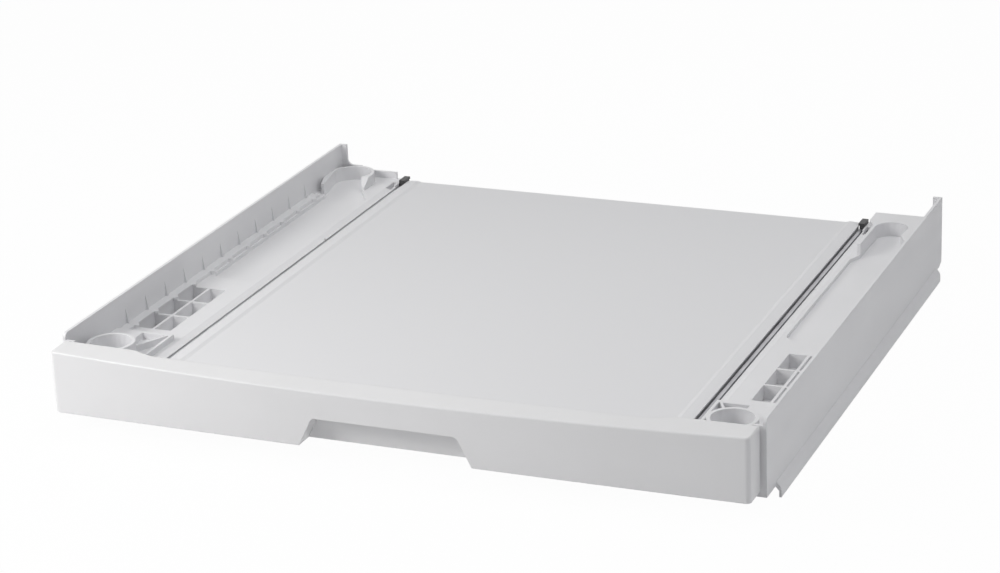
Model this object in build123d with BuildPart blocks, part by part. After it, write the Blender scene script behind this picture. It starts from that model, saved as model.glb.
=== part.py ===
"""A stacking kit with a pull out shelf, for standing a tumble dryer on a washing machine.

Two moulded side frames lie along the left and right edges of the washing machine's lid. Steel cross
rails join them. A flat shelf with a hollow drawer front runs between them on two ball bearing slides.
The dryer's front feet stand in round wells and its rear feet slide back into open cups.

All lengths are in millimetres. X runs to the right, Y to the back and Z up. The origin lies on the
floor plane, under the middle of the closed kit. The right side is modelled, and the left mirrors it,
but each frame has its own front block and its own cup.
"""
import math
import os

from build123d import *

os.makedirs("parts", exist_ok=True)

# Side frames, seen as long trays with a tall outer wall
frame_width = 595.0        # over the two outer walls
frame_depth = 522.0        # front edge to back edge of a side frame
wall_height = 63.5         # outer wall, from the frame's lower edge to its top
tray_drop = 30.0           # from the top of the outer wall down to the tray floor
tray_width = 62.5          # outer face of the outer wall to the slide's seat
wall = 2.5                 # general wall of the mouldings
wall_corner = 4.5          # rounding of the outer wall's top front corner
lip_reach = 4.7            # tray edge that leans over the slide
lip_wall = 1.7
lip_dip = 2.0              # the lip's edge lies this far under the tray floor
lip_slope = 6.7            # width of the sloping strip, from the lip's edge
pin_hole_radius = 1.3      # small notch in the lip's edge
pin_hole_inset = 175.0     # from the frame's back
return_width = 5.5         # strip at the back end of the outer wall, turned inwards
return_foot = 6.0          # rounding where that strip meets the deck
front_post_width = 8.0     # strip of front wall beside the outer wall
front_post_drop = 6.0      # its top lies this far under the outer wall's top

# Skirt that hangs over the side of the washing machine
skirt_drop = 9.0           # below the frame's lower edge
skirt_reach = 4.2          # outwards from the outer wall
skirt_wall = 1.8
skirt_flare = 3.0          # the shoulder starts this far above the frame's lower edge
skirt_band = 5.0           # plain band below the shoulder
skirt_bulge = 1.2          # rounding out of the shoulder
skirt_front_inset = 22.5   # the skirt starts this far behind the frame's front
skirt_back_inset = 20.0
back_corner_length = 8.0   # corner cut off at the outer wall's foot, at the back
back_corner_height = 3.0
skirt_corner = 4.0

# Raised block and round well for the dryer's front foot
block_lift = 5.0           # block top above the tray floor
block_depth = 80.0
block_inset = 6.0          # from the slide's seat to the block's side
right_block_shift = 8.0    # the right block and its well stand this much nearer the shelf
right_recess_depth = 14.0  # hollow beside the well, below the block's top
left_recess_depth = 5.5
recess_gap = 4.0           # from that hollow to the block's back
well_inner_radius = 17.0
well_wall = 3.0
well_lift = 15.0           # rim above the tray floor
well_x_inset = 27.3        # from the outer wall's outer face to the well's centre
well_y_inset = 28.5        # from the frame's front to the well's centre
web_wall = 2.0             # web from the well to the block's corner
core_clearance = 2.0       # rim left between a hollow in the block and its neighbours

# Two columns of coring pockets behind the block
pocket_columns = 2
pocket_rows = 3
pocket_width = 15.0
pocket_length = 31.5
pocket_wall = 2.5
pocket_depth = 12.0
pocket_start = 98.0        # from the frame's front to the first pocket
pocket_inset = 19.5        # from the slide's seat to the first column

# Sunk channel and open cup for the dryer's rear foot
channel_sink = 3.0
channel_inset = 6.0        # from the slide's seat to the channel
channel_width = 43.0
channel_start = 226.0      # from the frame's front
channel_corner = 10.0
cup_inner_radius = 14.7
cup_wall = 3.0
cup_lift = 10.0            # rim above the tray floor
cup_x_inset = 36.5         # from the outer wall's outer face to the cup's centre
cup_back_gap = 22.2        # from the cup's bore to the frame's back edge
cup_arm = 48.0             # the inner arm reaches this far forward of the cup's centre
cup_throat = 17.4          # the outer side is tightest this far forward of the centre
cup_throat_nip = 1.7       # and is that much tighter there
cup_flare = 35.6           # where the outer side has opened to the channel's width
funnel_length = 14.5       # the channel narrows to the inner arm over this length
deck_front_inset = 21.5    # the deck's inner corner, from the frame's back edge
deck_edge_inset = 2.0      # the deck's inner edge, from the slide's seat
deck_run = 11.0            # slanting edge from the deck's corner to the inner arm
window_length = 18.0       # recess in the tray's edge beside the deck
window_width = 4.6
window_back_inset = 12.0   # from the frame's back edge

# Cup of the left frame: it is wider, reaches the frame's back and has no deck round it
left_cup_radius = 18.5
left_cup_x_inset = 23.0    # from the outer wall's outer face to this cup's centre
left_cup_back_gap = 5.2    # from this cup's bore to the frame's back edge
left_arm = 39.0            # the outer arm reaches this far forward of the centre
left_arm_lean = 7.0        # and leans in by this much there
left_nose = 9.0            # the nose stands this far forward of the centre
left_nose_reach = 4.5      # from the bore's inner side to the nose's tip
left_nose_end = 19.5       # the nose's wall ends this far forward of the centre
left_flare = 42.0          # where the inner side has opened to the channel's edge
left_back_drop = 3.5       # top of the back wall beside this cup, below the cup's rim

# Ledge and gussets along the foot of the outer wall
ledge_width = 8.5
ledge_lift = 3.0
rib_count = 11
rib_height = 14.0
rib_depth = 2.2
rib_wall = 1.6
scallop_radius = 3.0

# Ribs, lands and bosses on the underside of a frame
under_rib_count = 7
under_rib_wall = 2.0
land_length = 64.0
land_shift = 6.5           # the front land's middle lies this far behind the well's centre
pad_length = 54.0
pad_width = 40.0
pad_thickness = 3.0
boss_diameter = 8.0
seat_boss_length = 8.0     # bosses behind the slide's seat

# Ball bearing slides
slide_height = 27.0
slide_thickness = 12.7
slide_length = 500.0
slide_front_inset = 8.0    # from the frame's front to the slide's front end
slide_lift = 2.0           # above the frame's lower edge
sheet = 1.2                # steel sheet of the slide members
outer_flange = 9.8         # depth of the outer member, from the slide's seat
bead_width = 3.3           # raised bead along the edge of the outer member's top
bead_rise = 2.2
middle_end_gap = 0.7       # from the middle member's flanges to the inner member's web
ball_diameter = 2.8
ball_gap = 0.3             # running clearance above and below each ball
cage_sheet = 0.5
cage_web_gap = 0.45        # from a cage's web to the member behind it
cage_edge = 2.4            # strip beyond the ball row
ball_clearance = 0.05
ball_pitch = 26.0
travel = 350.0             # the shelf's pull out length
cage_margin = 2.5
screw_diameter = 3.5
screw_head_diameter = 5.6
screw_head_height = 1.1
screw_length = 9.0
screw_clearance = 0.05
seat_screw_count = 4
seat_screw_inset = 24.0    # from the slide's ends to the end screws
hook_reach = 5.6           # top leaf of the rear hook, towards the shelf
hook_leaf = 2.2
hook_width = 4.6           # upright part beside the lip
hook_wall = 1.6
hook_rise = 3.0            # top of the hook above the tray floor

# Shelf
shelf_overhang = 1.7       # shelf edge beyond the shelf's side wall
shelf_drop = 29.0          # from the outer wall's top to the shelf's rim
shelf_plate = 2.5
shelf_back_gap = 5.0       # from the shelf to the frame's back edge
field_sink = 1.0           # the field lies this far under the side borders' crests
border_width = 10.0        # from the shelf's edge to a border's crest
border_slope = 3.5         # width of the slope from the crest down to the field
edge_drop = 0.7            # the shelf's edge lies this far under the crest
edge_undercut = 0.8        # the overhang thins by this much at the shelf's edge
shelf_corner = 3.0
shelf_wall_drop = 26.5     # side walls, from the shelf's rim down
shelf_rib_height = 12.0
shelf_rib_wall = 1.8
long_rib_count = 5
cross_rib_count = 6
stiffener_count = 2
stiffener_width = 36.0
stiffener_height = 8.0
stiffener_sheet = 1.2
stiffener_end_gap = 2.0    # from the stiffener's end to the slide's screw bosses
stiffener_screw_count = 3
stiffener_screw_inset = 60.0

# Drawer front
fascia_end_inset = 4.0     # from the outer wall's outer face to the drawer front's end
fascia_height = 52.5
fascia_depth = 26.0
fascia_wall = 2.5
fascia_lift = 6.5          # lower edge above the frame's lower edge
fascia_bow = 2.0           # crown of the face in plan
front_dip = 6.1            # sag of the top's front edge at the middle
back_dip = 2.0             # sag of the top's back edge at the middle
fascia_corner = 4.0
fascia_edge = 1.6          # rounding of the long top edge
running_gap = 4.0          # between the drawer front and the frames
middle_setback = 6.0       # the top's back edge is drawn in along the shelf
setback_run = 26.0         # length of the curve where it is drawn in
setback_margin = 9.5       # from the shelf's edge out to the start of that curve
notch_height = 24.0
notch_top_width = 122.0
notch_bottom_width = 146.0
notch_corner = 5.0
grip_wall = 2.0
back_panel_side_gap = 0.5
fascia_screw_shares = (0.49, 0.89)    # places along half of the shelf
fascia_screw_lift = 14.5
fascia_screw_length = 12.0
liner_gap = 0.2            # between the drawer front's wall and the grip liner
bumper_diameter = 10.0
bumper_seat_inset = 2.0    # the bumper's boss ends this far inside the drawer front
bumper_gap = 0.3
bumper_peg_diameter = 5.0
bumper_peg_length = 6.0
bumper_lift = 20.0
bumper_inset = 35.0        # from the outer wall's outer face

# Cross rails between the frames
rail_width = 30.0
rail_sheet = 1.5
rail_flange = 5.0
rail_tongue = 28.0         # length that lies under each frame
rail_gap = 0.5             # around the rail in the frame's notch
rail_inset = 118.0         # from the frame's front and from its back
rail_flange_end_gap = 20.0 # the flanges stop this far before the slide's seat
rail_screw_pitch = 14.0

overrun = 1.0              # every cut runs this far past the face that it opens
from_base = (Align.CENTER, Align.CENTER, Align.MIN)
from_top = (Align.CENTER, Align.CENTER, Align.MAX)

# Heights, worked out from the sizes above
base_z = skirt_drop
top_z = base_z + wall_height
tray_z = top_z - tray_drop
floor_z = tray_z - wall
channel_z = tray_z - channel_sink
well_rim_z = tray_z + well_lift
cup_rim_z = tray_z + cup_lift
block_z = tray_z + block_lift
ledge_z = tray_z + ledge_lift
pocket_z = tray_z - pocket_depth
land_z = base_z + wall
shelf_z = top_z - shelf_drop
plate_z = shelf_z - shelf_plate
shelf_foot_z = shelf_z - shelf_wall_drop
shelf_rib_z = plate_z - shelf_rib_height
field_z = shelf_z - field_sink
edge_z = shelf_z - edge_drop
slide_bottom_z = base_z + slide_lift
slide_z = slide_bottom_z + slide_height / 2
slide_top_z = slide_bottom_z + slide_height
fascia_bottom_z = base_z + fascia_lift
fascia_top_z = fascia_bottom_z + fascia_height

# Heights and depths of the slide members, nested with room for the balls and cages
race = ball_diameter + 2 * ball_gap
middle_height = slide_height - 2 * (sheet + race)
inner_height = middle_height - 2 * (sheet + race)
outer_cage_start = sheet + screw_head_height + cage_web_gap
middle_start = outer_cage_start + cage_sheet + cage_web_gap
inner_cage_start = middle_start + sheet + cage_web_gap
inner_start = inner_cage_start + cage_sheet + cage_web_gap
middle_end = slide_thickness - sheet - middle_end_gap
outer_ball_start = (middle_start + outer_flange) / 2
inner_ball_start = (inner_start + middle_end) / 2
outer_ball_rise = (middle_height + race) / 2
inner_ball_rise = (inner_height + race) / 2

# Places from front to back
total_depth = frame_depth + running_gap + fascia_depth
back_y = total_depth / 2
front_y = back_y - frame_depth
fascia_back_y = front_y - running_gap
face_y = -total_depth / 2
shelf_front_y = fascia_back_y - middle_setback
shelf_back_y = back_y - shelf_back_gap
slide_front_y = front_y + slide_front_inset
slide_back_y = slide_front_y + slide_length
well_y = front_y + well_y_inset
block_back_y = front_y + block_depth
pocket_y = front_y + pocket_start
channel_y = front_y + channel_start
cup_outer_radius = cup_inner_radius + cup_wall
cup_y = back_y - cup_back_gap - cup_inner_radius

# Places from the middle outwards
wall_x = frame_width / 2
fascia_width = frame_width - 2 * fascia_end_inset
wall_in_x = wall_x - wall
seat_x = wall_x - tray_width
lip_x = seat_x - lip_reach
inner_wall_x = seat_x + wall
well_x = wall_x - well_x_inset
block_x = seat_x + block_inset
channel_x = seat_x + channel_inset
cup_x = wall_x - cup_x_inset
pocket_x = seat_x + pocket_inset
ledge_x = wall_in_x - ledge_width
skirt_x = wall_x + skirt_reach
side_x = seat_x - slide_thickness
shelf_x = side_x + shelf_overhang
side_in_x = side_x - wall
crest_x = shelf_x - border_width
field_x = crest_x - border_slope
well_outer_radius = well_inner_radius + well_wall
left_cup_x = wall_x - left_cup_x_inset
left_cup_y = back_y - left_cup_back_gap - left_cup_radius
left_nose_x = left_cup_x - left_cup_radius + left_nose_reach


def slab(x0, x1, y0, y1, z0, z1, mode=Mode.ADD):
    """A block between two corners, added to or cut from the part that is being built."""
    with Locations(((x0 + x1) / 2, (y0 + y1) / 2, (z0 + z1) / 2)):
        Box(x1 - x0, y1 - y0, z1 - z0, mode=mode)


def post(x, y, z0, z1, radius, mode=Mode.ADD):
    """An upright cylinder from z0 to z1."""
    with Locations((x, y, (z0 + z1) / 2)):
        Cylinder(radius, z1 - z0, mode=mode)


def spread(start, end, count):
    """Places spaced evenly from start to end, both ends included."""
    step = (end - start) / max(count - 1, 1)
    return [start + step * index for index in range(count)]


def bar(points, y0, y1):
    """A bar from y0 back to y1 whose section in X and Z is a closed outline."""
    with BuildPart() as piece:
        with BuildSketch(Plane.XZ.offset(-y1)):
            with BuildLine():
                Polyline(*points, close=True)
            make_face()
        extrude(amount=y1 - y0)
    return piece.part


def cup_outline():
    """Plan of the channel and cup cavity, from the channel's square front end round the cup."""
    inner_x = cup_x - cup_inner_radius
    outer_x = cup_x + cup_inner_radius
    funnel_y = cup_y - cup_arm
    Polyline((inner_x, cup_y), (inner_x, funnel_y), (channel_x, funnel_y - funnel_length),
             (channel_x, channel_y), (channel_x + channel_width, channel_y),
             (channel_x + channel_width, cup_y - cup_flare),
             (outer_x - cup_throat_nip, cup_y - cup_throat), (outer_x, cup_y))
    ThreePointArc((outer_x, cup_y), (cup_x, cup_y + cup_inner_radius), (inner_x, cup_y))


def left_cup_outline():
    """Plan of the left frame's channel and cup cavity, with the nose on the side towards the shelf."""
    inner_x = left_cup_x - left_cup_radius
    outer_x = left_cup_x + left_cup_radius
    Polyline((inner_x, left_cup_y), (left_nose_x, left_cup_y - left_nose),
             (inner_x, left_cup_y - left_nose_end), (channel_x, left_cup_y - left_flare),
             (channel_x, channel_y), (channel_x + channel_width, channel_y),
             (channel_x + channel_width, left_cup_y - left_flare),
             (outer_x - left_arm_lean, left_cup_y - left_arm), (outer_x, left_cup_y))
    ThreePointArc((outer_x, left_cup_y), (left_cup_x, left_cup_y + left_cup_radius), (inner_x, left_cup_y))


def channel_section(web_x, flange_x, height, thickness):
    """Outline of a channel bent from sheet, its web at web_x and its flanges running to flange_x."""
    turn = math.copysign(thickness, flange_x - web_x)
    high = slide_z + height / 2
    low = slide_z - height / 2
    return [(web_x, low), (flange_x, low), (flange_x, low + thickness), (web_x + turn, low + thickness),
            (web_x + turn, high - thickness), (flange_x, high - thickness), (flange_x, high), (web_x, high)]


def screw(length, diameter=screw_diameter):
    """A pan head screw whose head rests on the origin and whose shank runs down along Z."""
    with BuildPart() as piece:
        with BuildSketch(Plane.XY):
            Circle(screw_head_diameter / 2)
        extrude(amount=screw_head_height)
        fillet(piece.edges().group_by(Axis.Z)[-1], radius=screw_head_height / 3)
        with BuildSketch(Plane.XY):
            Circle(diameter / 2)
        extrude(amount=-length)
        chamfer(piece.edges().group_by(Axis.Z)[0], length=diameter / 5)
    return piece.part


# Places shared by pieces that meet: screws, rails, balls
seat_screw_ys = spread(slide_front_y + seat_screw_inset, slide_back_y - seat_screw_inset, seat_screw_count)
rail_ys = (front_y + rail_inset, back_y - rail_inset)
rail_screw_x = seat_x + wall + rail_tongue / 2
rail_screw_places = [(rail_screw_x, rail_y + offset)
                     for rail_y in rail_ys for offset in (-rail_screw_pitch / 2, rail_screw_pitch / 2)]
screw_hole_radius = screw_diameter / 2 + screw_clearance
hook_screw_y = (slide_back_y + back_y - wall) / 2

# Side frame, the moulding that carries the dryer's feet and a slide, as it is on the right
with BuildPart() as side_frame:
    # Tall outer wall with a rounded top front corner and a corner cut off at the back
    with BuildSketch(Plane.YZ.offset(wall_in_x)) as wall_sketch:
        with BuildLine():
            Polyline((front_y, base_z), (back_y - back_corner_length, base_z),
                     (back_y, base_z + back_corner_height), (back_y, top_z), (front_y, top_z), close=True)
        make_face()
        fillet(wall_sketch.vertices().group_by(Axis.X)[0].sort_by(Axis.Y)[-1], radius=wall_corner)
    extrude(amount=wall)
    # Tray floor, the wall that seats the slide, and the lip that covers the slide's edge
    slab(inner_wall_x, wall_in_x, front_y, back_y, floor_z, tray_z)
    slab(seat_x, inner_wall_x, front_y, back_y, base_z, tray_z)
    slab(lip_x, seat_x, front_y, back_y, tray_z - lip_dip - lip_wall, tray_z)
    # Front wall with its narrow post beside the outer wall, and back wall
    slab(inner_wall_x, wall_in_x, front_y, front_y + wall, base_z, tray_z)
    slab(wall_in_x - front_post_width, wall_in_x, front_y, front_y + wall, tray_z, top_z - front_post_drop)
    slab(inner_wall_x, wall_in_x, back_y - wall, back_y, base_z + back_corner_height,
         cup_rim_z - left_back_drop)
    # Ribs across the underside
    for rib_y in spread(front_y + block_depth, back_y - block_depth, under_rib_count):
        slab(inner_wall_x, wall_in_x, rib_y - under_rib_wall / 2, rib_y + under_rib_wall / 2,
             base_z, floor_z)
    # Lands that take the pads, under the well and under the cup
    for land_y in (well_y + land_shift, cup_y - cup_wall):
        slab(inner_wall_x, wall_in_x, land_y - land_length / 2, land_y + land_length / 2, base_z, land_z)
    # Body around the coring pockets
    pockets_width = pocket_columns * (pocket_width + pocket_wall) - pocket_wall
    pockets_length = pocket_rows * (pocket_length + pocket_wall) - pocket_wall
    slab(pocket_x - pocket_wall, pocket_x + pockets_width + pocket_wall,
         pocket_y - pocket_wall, pocket_y + pockets_length + pocket_wall, pocket_z - wall, tray_z)
    # Pan of the sunk channel
    slab(channel_x - wall, channel_x + channel_width + wall, channel_y - wall, cup_y,
         channel_z - wall, tray_z)
    # Strip at the back end of the outer wall, rounded into the deck at its foot
    with BuildSketch(Plane.XZ.offset(-back_y)) as return_sketch:
        with BuildLine():
            Polyline((wall_in_x - return_width - return_foot, cup_rim_z - wall),
                     (wall_in_x, cup_rim_z - wall), (wall_in_x, top_z), (wall_in_x - return_width, top_z),
                     (wall_in_x - return_width, cup_rim_z + return_foot))
            RadiusArc((wall_in_x - return_width, cup_rim_z + return_foot),
                      (wall_in_x - return_width - return_foot, cup_rim_z), return_foot)
            Line((wall_in_x - return_width - return_foot, cup_rim_z),
                 (wall_in_x - return_width - return_foot, cup_rim_z - wall))
        make_face()
    extrude(amount=wall)
    # Ledge with gussets along the outer wall
    slab(ledge_x, wall_in_x, block_back_y, cup_y - cup_flare, tray_z, ledge_z)
    rib_pitch = pocket_length + pocket_wall
    rib_ys = [pocket_y - pocket_wall / 2 + rib_pitch * index for index in range(rib_count)]
    for rib_y in rib_ys:
        post(ledge_x, rib_y, tray_z, ledge_z, scallop_radius)
        with BuildSketch(Plane.XZ.offset(-rib_y - rib_wall / 2)):
            with BuildLine():
                Polyline((wall_in_x, ledge_z), (wall_in_x - rib_depth, ledge_z),
                         (wall_in_x, ledge_z + rib_height), close=True)
            make_face()
        extrude(amount=rib_wall)
    # Bosses for the slide's screws and for the cross rails' screws
    with Locations(*[Location((inner_wall_x, screw_y, slide_z), (0, 90, 0))
                     for screw_y in seat_screw_ys + [hook_screw_y]]):
        Cylinder(boss_diameter / 2, seat_boss_length, align=from_base)
    for boss_x, boss_y in rail_screw_places:
        post(boss_x, boss_y, base_z + rail_sheet, floor_z, boss_diameter / 2)
    # Skirt: a sloping shoulder, then a plain drop over the washing machine's side
    with BuildSketch(Plane.XZ.offset(-back_y + skirt_back_inset)):
        with BuildLine():
            ThreePointArc((wall_x, base_z + skirt_flare),
                          ((wall_x + skirt_x) / 2 + skirt_bulge, (base_z + skirt_flare + skirt_band) / 2),
                          (skirt_x, skirt_band))
            Polyline((skirt_x, skirt_band), (skirt_x, 0), (skirt_x - skirt_wall, 0),
                     (skirt_x - skirt_wall, skirt_band), (wall_x - skirt_wall / 2, base_z),
                     (wall_in_x, base_z), (wall_in_x, base_z + skirt_flare), (wall_x, base_z + skirt_flare))
        make_face()
    extrude(amount=frame_depth - skirt_back_inset - skirt_front_inset)
    # Cuts: pockets
    for column in range(pocket_columns):
        for row in range(pocket_rows):
            cut_x = pocket_x + column * (pocket_width + pocket_wall)
            cut_y = pocket_y + row * (pocket_length + pocket_wall)
            slab(cut_x, cut_x + pocket_width, cut_y, cut_y + pocket_length, pocket_z, tray_z + overrun,
                 Mode.SUBTRACT)
    # The tray's edge slopes down to its lip, and is recessed beside the deck
    add(bar([(lip_x - overrun, tray_z - lip_dip), (lip_x, tray_z - lip_dip), (lip_x + lip_slope, tray_z),
             (lip_x + lip_slope, tray_z + overrun), (lip_x - overrun, tray_z + overrun)],
            front_y - overrun, back_y - deck_front_inset), mode=Mode.SUBTRACT)
    slab(lip_x + lip_wall, lip_x + lip_wall + window_width, back_y - window_back_inset - window_length,
         back_y - window_back_inset, tray_z - lip_dip - lip_wall - overrun, tray_z + overrun, Mode.SUBTRACT)
    post(lip_x + pin_hole_radius / 2, back_y - pin_hole_inset, tray_z - lip_dip - lip_wall - overrun,
         tray_z + overrun, pin_hole_radius, Mode.SUBTRACT)
    # Cuts: notches for the cross rails, screw holes
    for rail_y in rail_ys:
        notch_y = rail_width / 2 + rail_gap
        slab(seat_x - overrun, inner_wall_x + overrun, rail_y - notch_y, rail_y + notch_y,
             base_z - overrun, base_z + rail_sheet + rail_gap, Mode.SUBTRACT)
        slab(inner_wall_x, inner_wall_x + rail_tongue + rail_gap, rail_y - notch_y, rail_y + notch_y,
             base_z - overrun, base_z + rail_sheet, Mode.SUBTRACT)
    with Locations(*[Location((seat_x - overrun, screw_y, slide_z), (0, 90, 0))
                     for screw_y in seat_screw_ys + [hook_screw_y]]):
        Cylinder(screw_hole_radius, screw_length + overrun, align=from_base,
                 mode=Mode.SUBTRACT)
    for boss_x, boss_y in rail_screw_places:
        post(boss_x, boss_y, base_z - overrun, base_z + screw_length, screw_hole_radius, Mode.SUBTRACT)


def front_block(shift, recess_depth):
    """Adds the raised front block and its round well to a frame, moved towards the shelf by a shift."""
    centre_x = well_x - shift
    recess_x = block_x + wall - shift
    deep_x = max(recess_x, inner_wall_x)
    recess_z = block_z - recess_depth
    recess_y = well_y - well_inner_radius
    recess_back_y = block_back_y - recess_gap
    slab(block_x - shift, wall_in_x, front_y, block_back_y, tray_z - lip_dip, block_z)
    slab(deep_x, centre_x, front_y, block_back_y, recess_z - wall, tray_z)
    # Hollow beside the well, and where the block overhangs the slide's seat a shallow rest of it
    slab(deep_x, centre_x - core_clearance, recess_y, recess_back_y, recess_z, block_z + overrun,
         Mode.SUBTRACT)
    if shift:
        slab(recess_x, deep_x + overrun, recess_y, recess_back_y, tray_z, block_z + overrun, Mode.SUBTRACT)
        # Shallow hollow beside the outer wall
        slab(centre_x + well_outer_radius - core_clearance, wall_in_x - core_clearance,
             well_y, block_back_y - wall, tray_z, block_z + overrun, Mode.SUBTRACT)
    # Web from the well to the corner of the hollow
    run_x = recess_x + web_wall - centre_x
    run_y = recess_back_y - well_y
    reach = math.hypot(run_x, run_y) - well_inner_radius
    with Locations(Location((centre_x, well_y, (recess_z + block_z) / 2),
                            (0, 0, math.degrees(math.atan2(run_y, run_x))))):
        with Locations((well_inner_radius + reach / 2, 0)):
            Box(reach, web_wall, block_z - recess_z)
    # The well stands on the land below, hollow under its floor, which is sunk a little below the tray
    post(centre_x, well_y, land_z, well_rim_z, well_outer_radius)
    post(centre_x, well_y, base_z - overrun, channel_z - wall, well_inner_radius, Mode.SUBTRACT)
    post(centre_x, well_y, channel_z, well_rim_z + overrun, well_inner_radius, Mode.SUBTRACT)
    # The slide's front screw reaches into the well's wall
    with Locations(Location((seat_x - overrun, seat_screw_ys[0], slide_z), (0, 90, 0))):
        Cylinder(screw_hole_radius, screw_length + overrun, align=from_base, mode=Mode.SUBTRACT)


def sink_channel(outline):
    """Sinks the channel, and the cup at its end, into a frame. The channel's front corners are round."""
    with BuildSketch(Plane.XY.offset(channel_z)) as channel_sketch:
        with BuildLine():
            outline()
        make_face()
        fillet(channel_sketch.vertices().group_by(Axis.Y)[0], radius=channel_corner)
    extrude(channel_sketch.sketch, amount=cup_rim_z + overrun - channel_z, mode=Mode.SUBTRACT)


def right_cup():
    """Adds the right frame's cup with the raised deck that frames it, hollow underneath."""
    post(cup_x, cup_y, channel_z - wall, cup_rim_z, cup_outer_radius)
    # The deck: the inner arm, the corner behind it and the outer side
    arm_x = cup_x - cup_outer_radius
    deck_edge_x = seat_x + deck_edge_inset
    deck_corner_y = back_y - deck_front_inset
    deck_front_y = cup_y - cup_flare
    with BuildSketch(Plane.XY.offset(floor_z)) as deck_sketch:
        with BuildLine():
            Polyline((arm_x, cup_y - cup_arm), (cup_x, cup_y - cup_arm), (cup_x, deck_front_y),
                     (wall_in_x, deck_front_y), (wall_in_x, back_y), (deck_edge_x, back_y),
                     (deck_edge_x, deck_corner_y), (arm_x, deck_corner_y - deck_run), close=True)
        make_face()
    extrude(deck_sketch.sketch, amount=cup_rim_z - floor_z)
    sink_channel(cup_outline)
    # Hollows under the deck, behind the cup and beside it
    deck_core_y = cup_y + cup_outer_radius
    slab(inner_wall_x + deck_edge_inset, wall_in_x, deck_core_y, back_y - wall,
         floor_z - overrun, cup_rim_z - wall, Mode.SUBTRACT)
    slab(channel_x + channel_width + wall, wall_in_x, deck_front_y + wall, deck_core_y - wall,
         floor_z - overrun, cup_rim_z - wall, Mode.SUBTRACT)


def left_cup():
    """Adds the left frame's wider cup: a round wall with an arm on one side and a nose on the other."""
    inner_x = left_cup_x - left_cup_radius
    outer_x = left_cup_x + left_cup_radius
    arm_y = left_cup_y - left_arm
    nose_end_y = left_cup_y - left_nose_end
    post(left_cup_x, left_cup_y, channel_z - wall, cup_rim_z, left_cup_radius + cup_wall)
    slab(left_cup_x, wall_in_x, back_y - wall, back_y, floor_z, cup_rim_z)
    slab(inner_x - cup_wall, channel_x + channel_width + wall, cup_y - cup_flare, left_cup_y,
         channel_z - wall, tray_z)
    with BuildSketch(Plane.XY.offset(channel_z - wall)) as arm_sketch:
        with BuildLine():
            Polyline((outer_x - left_arm_lean - cup_wall, arm_y), (outer_x - left_arm_lean + cup_wall, arm_y),
                     (wall_in_x, left_cup_y - left_nose_end), (wall_in_x, left_cup_y),
                     (left_cup_x, left_cup_y), close=True)
        make_face()
    extrude(arm_sketch.sketch, amount=cup_rim_z - channel_z + wall)
    # The wall of the nose, whose top falls to the front
    slab(inner_x - cup_wall, left_cup_x, nose_end_y, left_cup_y, channel_z - wall, cup_rim_z)
    with BuildSketch(Plane.YZ.offset(inner_x - cup_wall - overrun)) as fall_sketch:
        with BuildLine():
            Polyline((nose_end_y - overrun, tray_z + wall), (left_cup_y - left_nose, cup_rim_z),
                     (left_cup_y - left_nose, cup_rim_z + overrun),
                     (nose_end_y - overrun, cup_rim_z + overrun), close=True)
        make_face()
    extrude(fall_sketch.sketch, amount=left_cup_radius, mode=Mode.SUBTRACT)
    sink_channel(left_cup_outline)


# The two frames: one moulding and its mirror image, but for the front blocks and the cups
with BuildPart() as right_frame:
    add(side_frame.part)
    right_cup()
    front_block(right_block_shift, right_recess_depth)
right_frame.part.label = "right_frame"
export_step(right_frame.part, "parts/right_frame.step")

with BuildPart() as left_hand:
    add(side_frame.part)
    left_cup()
    front_block(0, left_recess_depth)

with BuildPart() as left_frame:
    mirror(left_hand.part, about=Plane.YZ)
left_frame.part.label = "left_frame"
export_step(left_frame.part, "parts/left_frame.step")

# Rubber pads that rest on the washing machine's lid
with BuildPart() as base_pads:
    for side in (-1, 1):
        for land_y in (well_y + land_shift, cup_y - cup_wall):
            with Locations((side * (inner_wall_x + wall_in_x) / 2, land_y, base_z - pad_thickness / 2)):
                Box(pad_width, pad_length, pad_thickness)
base_pads.part.label = "base_pads"
export_step(base_pads.part, "parts/base_pads.step")


def cross_rail(rail_y):
    """A pressed steel rail from frame to frame: a flat strip with two upturned flanges."""
    end_x = seat_x + wall + rail_tongue
    flange_x = seat_x - rail_flange_end_gap
    with BuildPart() as piece:
        slab(-end_x, end_x, rail_y - rail_width / 2, rail_y + rail_width / 2, base_z, base_z + rail_sheet)
        for side in (-1, 1):
            edge_y = rail_y + side * (rail_width - rail_sheet) / 2
            slab(-flange_x, flange_x, edge_y - rail_sheet / 2, edge_y + rail_sheet / 2,
                 base_z, base_z + rail_flange)
        for hole_x, hole_y in rail_screw_places:
            for side in (-1, 1):
                post(side * hole_x, hole_y, base_z - overrun, base_z + rail_sheet + overrun,
                     screw_hole_radius, Mode.SUBTRACT)
    return piece.part


# Steel rails that join the two frames
with BuildPart() as front_cross_rail:
    add(cross_rail(rail_ys[0]))
front_cross_rail.part.label = "front_cross_rail"
export_step(front_cross_rail.part, "parts/front_cross_rail.step")

with BuildPart() as rear_cross_rail:
    add(cross_rail(rail_ys[1]))
rear_cross_rail.part.label = "rear_cross_rail"
export_step(rear_cross_rail.part, "parts/rear_cross_rail.step")

# Screws that hold the rails, driven up from below
with BuildPart() as rail_screws:
    with Locations(*[Location((side * screw_x, screw_y, base_z), (180, 0, 0))
                     for screw_x, screw_y in rail_screw_places for side in (-1, 1)]):
        add(screw(screw_length))
rail_screws.part.label = "rail_screws"
export_step(rail_screws.part, "parts/rail_screws.step")

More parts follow.
